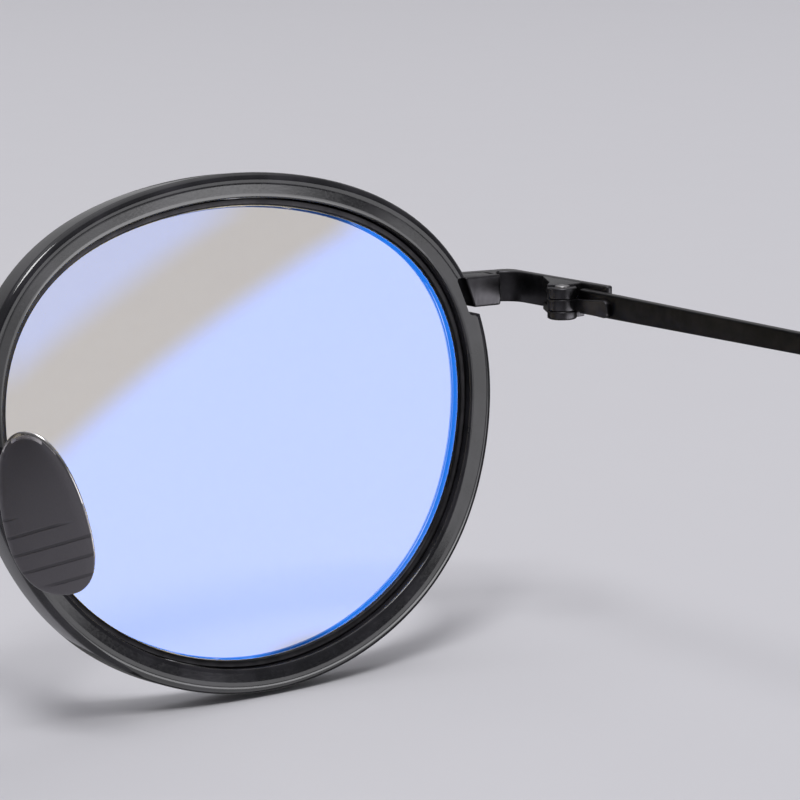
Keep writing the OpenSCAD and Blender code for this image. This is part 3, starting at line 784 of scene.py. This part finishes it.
def pad_plate(right, side):
    """A thin domed plate with rolled edges, and the lug behind it."""
    lip, full = PAD_T / 2 - PAD_CROWN, PAD_T - PAD_CROWN
    front = [egg(f, lip + PAD_CROWN * math.sqrt(1 - f ** PAD_FULL)) for f in PAD_RINGS]
    back = [egg(f, lip - full * math.sqrt(1 - f ** PAD_BACK) * BACK_CLOSE)
            for f in reversed(PAD_RINGS)]
    plate = skin(front + [egg(1, lip)] + back)
    r, flat, end, reach = LUG_R, LUG_R - LUG_EDGE, LUG - LUG_EDGE, PIVOT - NECK_SHORT
    lug = lathe([(TINY, -LUG), (flat, -LUG), (r, -end), (r, end), (flat, LUG), (TINY, LUG)], LUG_STEPS)
    square = [Vector(p) for p in ((0, -LUG), (reach, -LUG), (reach, LUG), (0, LUG))]
    neck = prism(square, -LUG, LUG, LUG_EDGE, 2)
    pad = emit("pad_plate_" + side, *merge(plate, moved(lug, on_lug), moved(neck, on_lug)), right,
               "pad_" + side, "pad_metal", PAD, ["nose_pad_" + side])
    pad.data.materials.append(EDGE_HIGHLIGHT)
    # Painted highlight: lighter all round the rim, and further in only at the top, as if lit from above
    for band, end in HIGHLIGHT_BANDS:
        for k, a in enumerate(circle(PAD_STEPS)):
            if math.sin(a) > end:
                pad.data.polygons[band * PAD_STEPS + k].material_index = 1


def pad_stem(right, side):
    """The wire that carries the pad, from the rim round to its box."""
    end = on_pad((-PIVOT - BOX_T / 2 - STEM_SUNK, 0, 0))
    way = [Vector(STEM_START), Vector(STEM_BOW), end + STEM_LEAD * pad_turn((-1, 0, 0)), end]
    rings = []
    for k in range(STEM_STEPS + 1):
        t = k / STEM_STEPS
        d = (cubic(way, t + TINY) - cubic(way, t - TINY)).normalized()
        u = d.cross(Vector((0, 0, 1))).normalized()
        w = d.cross(u)
        rings.append([cubic(way, t) + STEM_R * (math.cos(a) * u + math.sin(a) * w)
                      for a in circle(WIRE_STEPS)])
    emit("pad_stem_" + side, *skin(rings), right, "front", "dark_metal", METAL, ["pad_arm_" + side])


# ---------------------------------------------------------------- the whole pair
SIDES = ((True, "right"), (False, "left"))
for right, side in SIDES:
    rim_pieces(right, side)
bridge()
for right, side in SIDES:
    for make in (closing_block, end_arm, hinge_plate, temple_bar, tip_sleeve, hinge_screw, pad_plate,
                 pad_stem):
        make(right, side)

# CAD nodes that keep their shape: soft edges and their material
for node, material in (("pad_box_right", METAL), ("pad_box_left", METAL), ("pad_screws", STEEL),
                       ("rim_screws", STEEL)):
    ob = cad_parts[node]
    ob.data.materials.clear()
    ob.data.materials.append(material)
    m = ob.modifiers.new("edges", "BEVEL")
    m.width, m.segments, m.limit_method, m.angle_limit = CAD_EDGE, 2, "ANGLE", math.radians(50)


# ---------------------------------------------------------------- table
# Extents in metres of the table, of its part that is mirrored, and of the backdrop; then heights
TABLE, BESIDE, FAR = (-4, 4, -4, 4), (-0.02, 0.6, -0.3, 0.2), (-8, 8, -8, 8)
RISE_FROM, FAR_LIFT, NEAR_SHADE = 2.5, 0.3, 0.92
MIRRORED_Z, NEAR_Z, FLOOR_Z, FAR_Z = -0.00005, -0.0001, -0.00015, -0.0002


def floor_look(n, b, k=1.0):
    """A pale, slightly bluish matt table, darkened by k."""
    fine = n.noise(60, 4)
    tones = (0.61 * k, 0.605 * k, 0.64 * k, 1), (0.62 * k, 0.615 * k, 0.65 * k, 1)
    n.put(b.inputs["Base Color"], n.mix(fine, *tones))
    b.inputs["Roughness"].default_value = 0.6
    b.inputs["Specular IOR Level"].default_value = 0.1


def plane(name, extent, z, material, lift=0.0):
    """A staged plane over (x0, x1, y0, y1), rising from RISE_FROM outward if it has a lift."""
    x0, x1, y0, y1 = extent
    bm = bmesh.new()
    bmesh.ops.create_grid(bm, x_segments=48, y_segments=48, size=1)
    for v in bm.verts:
        v.co = (x0 + (v.co.x + 1) / 2 * (x1 - x0), y0 + (v.co.y + 1) / 2 * (y1 - y0), z)
        v.co.z += lift * max(0, math.hypot(v.co.x, v.co.y) - RISE_FROM) ** 2
    ob = new_object(name, bm)
    ob.data.materials.append(material)
    return ob


# The table as seen directly, through the lenses, mirrored in the pads, and far out behind it all
FLOOR = surface("floor_pale", floor_look)
# Painted shade: the table seen through the lenses is a copy of it darkened by NEAR_SHADE
SHADED_NEAR = surface("floor_pale_shaded_copy", lambda n, b: floor_look(n, b, NEAR_SHADE))
floor = plane("floor", TABLE, FLOOR_Z, FLOOR)
floor.visible_glossy = floor.visible_transmission = False
near = plane("floor_near", TABLE, NEAR_Z, SHADED_NEAR)
near.visible_camera = near.visible_diffuse = near.visible_shadow = near.visible_glossy = False
mirrored = plane("floor_mirrored", BESIDE, MIRRORED_Z, FLOOR)
mirrored.visible_camera = mirrored.visible_diffuse = False
mirrored.visible_shadow = mirrored.visible_transmission = False
backdrop = plane("backdrop", FAR, FAR_Z, FLOOR, FAR_LIFT)
backdrop.visible_diffuse = backdrop.visible_shadow = backdrop.visible_glossy = False

# ---------------------------------------------------------------- world
# Patches of light, placed by compass angle az and height el in degrees; slants are measured from
# az -25, near the middle of the window
MIDDLE = 25.0
world = bpy.data.worlds.new("studio")
bpy.context.scene.world = world
world.use_nodes = True
n = Nodes(world.node_tree)
p = n.add("ShaderNodeSeparateXYZ", Vector=n.add("ShaderNodeTexCoord").outputs["Generated"]).outputs
deg = 180 / math.pi
az = n.times(n.math("ARCTAN2", p[0], p[1]), deg)
el = n.times(n.math("ARCSINE", p[2]), deg)
across = n.math("ADD", az, MIDDLE)
slant = n.math("ADD", el, n.times(across, 0.4))
other = n.math("SUBTRACT", el, n.times(across, 0.6))
# How far the studio's window of light reaches sideways, and its upper edge with two cut corners
window = n.times(n.ramp(az, -62, -52), n.ramp(az, 6, 0))
ceiling = n.times(n.ramp(el, 13.5, 12.9), n.ramp(slant, 17.0, 15.9), n.ramp(other, 16.2, 15.2))
# A wide panel with a slanted lower edge, the light below it, and what the table and its left send up
panel = n.times(n.ramp(slant, -6.8, -4.2), ceiling, window)
below = n.times(n.ramp(slant, -9.8, -12.2), n.ramp(el, 6.0, 0.0))
table = n.times(n.ramp(el, -11.4, -12.4), n.ramp(el, -30, -22))
left = n.times(n.ramp(slant, -14.0, -15.5), n.ramp(el, -30, -22))
patches = ((panel, 1.75), (n.times(below, window), 0.85), (n.times(table, window), 3.0),
           (n.times(left, window), 1.5), (n.times(ceiling, window), 0.33), (n.ramp(el, 48, 60), 0.85))
light = n.ramp(el, 14, 30, 0.12, 0.26)
for patch, strength in patches:
    light = n.math("ADD", light, n.times(patch, strength))
# A dim wall on the side the camera looks to
toward = n.math("ADD", n.times(p[0], -0.59), n.times(p[1], -0.8))
wall = n.times(n.ramp(toward, 0.45, 0.75), n.ramp(el, 0, 3))
light = n.math("ADD", light, n.times(wall, 0.3))
bg = n.add("ShaderNodeBackground", Color=(1.0, 0.995, 1.02, 1), Strength=light)
n.put(n.add("ShaderNodeOutputWorld").inputs["Surface"], bg.outputs[0])

# ---------------------------------------------------------------- lamp and camera
LAMP_AT, LAMP_SIZE, LAMP_POWER = Vector((1.7, 2.3, 5.0)), 1.8, 165.0
lamp = bpy.data.lights.new("key_panel", "AREA")
lamp.shape, lamp.size, lamp.size_y, lamp.energy = "RECTANGLE", LAMP_SIZE, LAMP_SIZE, LAMP_POWER
key = bpy.data.objects.new("key_panel", lamp)
bpy.context.scene.collection.objects.link(key)
key.location = LAMP_AT
key.rotation_mode = "QUATERNION"
key.rotation_quaternion = (-LAMP_AT).to_track_quat("-Z", "Y")
key.visible_camera = False

# The camera's place in millimetres from the right lens, the way it looks, and what is up for it
CAMERA_AT, LENS_MM = (136.13, 207.262, 50.974), 124.57
LOOK, UP = Vector((-0.58337, -0.78908, -0.19244)), Vector((-0.12621, -0.14598, 0.98120))
cam = bpy.data.cameras.new("camera")
cam.sensor_fit, cam.sensor_width, cam.lens = "HORIZONTAL", 36, LENS_MM
cam.clip_start, cam.clip_end = 0.01, 20
camera = bpy.data.objects.new("camera", cam)
bpy.context.scene.collection.objects.link(camera)
f = LOOK.normalized()
u = (UP - f * UP.dot(f)).normalized()
r = f.cross(u)
stand = Vector((-LENS_X + CAMERA_AT[0], RIM_Y + CAMERA_AT[1], LENS_Z + CAMERA_AT[2])) / 1000
turn = Matrix(((r.x, u.x, -f.x), (r.y, u.y, -f.y), (r.z, u.z, -f.z))).to_4x4()
camera.matrix_world = Matrix.Translation(stand) @ turn
bpy.context.scene.camera = camera
bpy.context.scene.view_settings.view_transform = "Standard"
